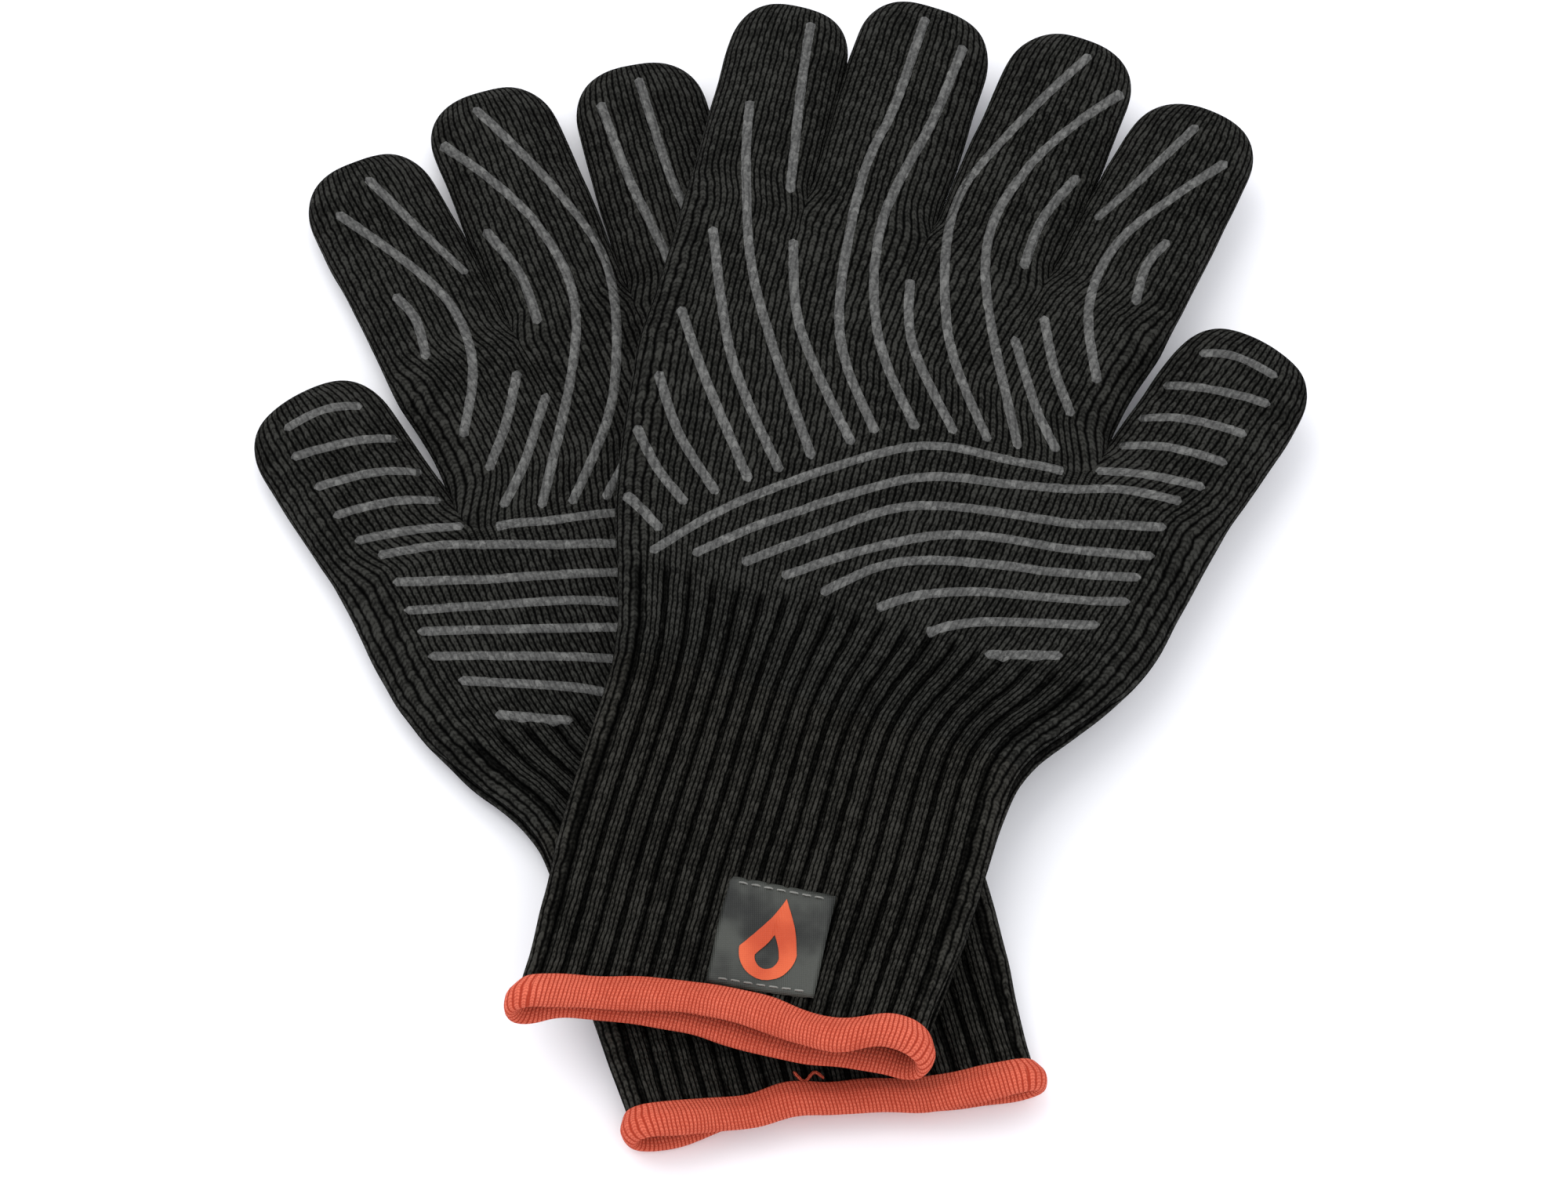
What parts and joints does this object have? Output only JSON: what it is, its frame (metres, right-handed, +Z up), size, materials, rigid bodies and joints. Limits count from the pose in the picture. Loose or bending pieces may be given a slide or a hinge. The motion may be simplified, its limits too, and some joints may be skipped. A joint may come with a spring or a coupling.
{
  "type": "heat resistant glove pair",
  "caption": "Pair of knitted heat-resistant gloves laid crossed, palms up, with silicone grip lines, ribbed cuffs, a bound edge and a sewn label; digits curl and a cuff folds.",
  "frame": {"origin": "middle of the pair's footprint, on the surface it lies on", "axes": "+Y from the cuffs towards the fingertips, +X towards the right glove's thumb, +Z up out of the palms"},
  "size_m": [0.2788, 0.3336, 0.034],
  "materials": {
    "aramid_knit": "matte knit",
    "rib_knit": "matte ribbed knit",
    "cotton_lining": "soft matte knit",
    "silicone": "satin",
    "band_yarn": "matte yarn",
    "label_satin": "woven satin",
    "emblem_thread": "woven",
    "sewing_thread": "thread"
  },
  "bodies": {
    "left_hand": {"left_palm_shell": "aramid_knit", "left_palm_lining": "cotton_lining", "left_palm_grip_lines": "silicone", "left_cuff_shell": "rib_knit", "left_cuff_lining": "cotton_lining", "left_cuff_band": "band_yarn", "left_bar_tack": "band_yarn", "left_ring_shell": "aramid_knit", "left_ring_lining": "cotton_lining", "left_ring_grip_lines": "silicone", "left_little_shell": "aramid_knit", "left_little_lining": "cotton_lining", "left_little_grip_lines": "silicone"},
    "left_thumb": {"left_thumb_shell": "aramid_knit", "left_thumb_lining": "cotton_lining", "left_thumb_grip_lines": "silicone"},
    "left_index": {"left_index_shell": "aramid_knit", "left_index_lining": "cotton_lining", "left_index_grip_lines": "silicone"},
    "left_middle": {"left_middle_shell": "aramid_knit", "left_middle_lining": "cotton_lining", "left_middle_grip_lines": "silicone"},
    "right_hand": {"right_palm_shell": "aramid_knit", "right_palm_lining": "cotton_lining", "right_palm_grip_lines": "silicone"},
    "right_cuff": {"right_cuff_shell": "rib_knit", "right_cuff_lining": "cotton_lining", "right_cuff_band": "band_yarn", "right_label_patch": "label_satin", "right_label_emblem": "emblem_thread", "right_label_stitches": "sewing_thread"},
    "right_thumb": {"right_thumb_shell": "aramid_knit", "right_thumb_lining": "cotton_lining", "right_thumb_grip_lines": "silicone"},
    "right_index": {"right_index_shell": "aramid_knit", "right_index_lining": "cotton_lining", "right_index_grip_lines": "silicone"},
    "right_middle": {"right_middle_shell": "aramid_knit", "right_middle_lining": "cotton_lining", "right_middle_grip_lines": "silicone"},
    "right_ring": {"right_ring_shell": "aramid_knit", "right_ring_lining": "cotton_lining", "right_ring_grip_lines": "silicone"},
    "right_little": {"right_little_shell": "aramid_knit", "right_little_lining": "cotton_lining", "right_little_grip_lines": "silicone"}
  },
  "joints": [
    {"name": "right_glove_lift", "type": "slide", "parent": "left_hand", "child": "right_hand", "axis": [0, 0, 1], "range_m": [0, 0.12]},
    {"name": "right_cuff_bend", "type": "hinge", "parent": "right_hand", "child": "right_cuff", "pos_m": [0.01033, -0.05706, 0.0342], "axis": [-0.9613, 0.2756, 0], "range_deg": [0, 70]},
    {"name": "right_thumb_bend", "type": "hinge", "parent": "right_hand", "child": "right_thumb", "pos_m": [0.09666, 0.00203, 0.0342], "axis": [0.8387, -0.5446, 0], "range_deg": [0, 60]},
    {"name": "right_index_bend", "type": "hinge", "parent": "right_hand", "child": "right_index", "pos_m": [0.08614, 0.06211, 0.0342], "axis": [0.8949, -0.4462, 0], "range_deg": [0, 85]},
    {"name": "right_middle_bend", "type": "hinge", "parent": "right_hand", "child": "right_middle", "pos_m": [0.05512, 0.07595, 0.0342], "axis": [0.9304, -0.3665, 0], "range_deg": [0, 85]},
    {"name": "right_ring_bend", "type": "hinge", "parent": "right_hand", "child": "right_ring", "pos_m": [0.02273, 0.08659, 0.0342], "axis": [0.9659, -0.2588, 0], "range_deg": [0, 85]},
    {"name": "right_little_bend", "type": "hinge", "parent": "right_hand", "child": "right_little", "pos_m": [-0.00948, 0.09437, 0.0342], "axis": [0.9781, -0.2079, 0], "range_deg": [0, 85]},
    {"name": "left_thumb_bend", "type": "hinge", "parent": "left_hand", "child": "left_thumb", "pos_m": [-0.097, -0.00816, 0.017], "axis": [0.8434, 0.5373, 0], "range_deg": [0, 60]},
    {"name": "left_index_bend", "type": "hinge", "parent": "left_hand", "child": "left_index", "pos_m": [-0.08596, 0.05183, 0.017], "axis": [0.8988, 0.4384, 0], "range_deg": [0, 85]},
    {"name": "left_middle_bend", "type": "hinge", "parent": "left_hand", "child": "left_middle", "pos_m": [-0.05482, 0.06539, 0.017], "axis": [0.9336, 0.3584, 0], "range_deg": [0, 85]}
  ]
}
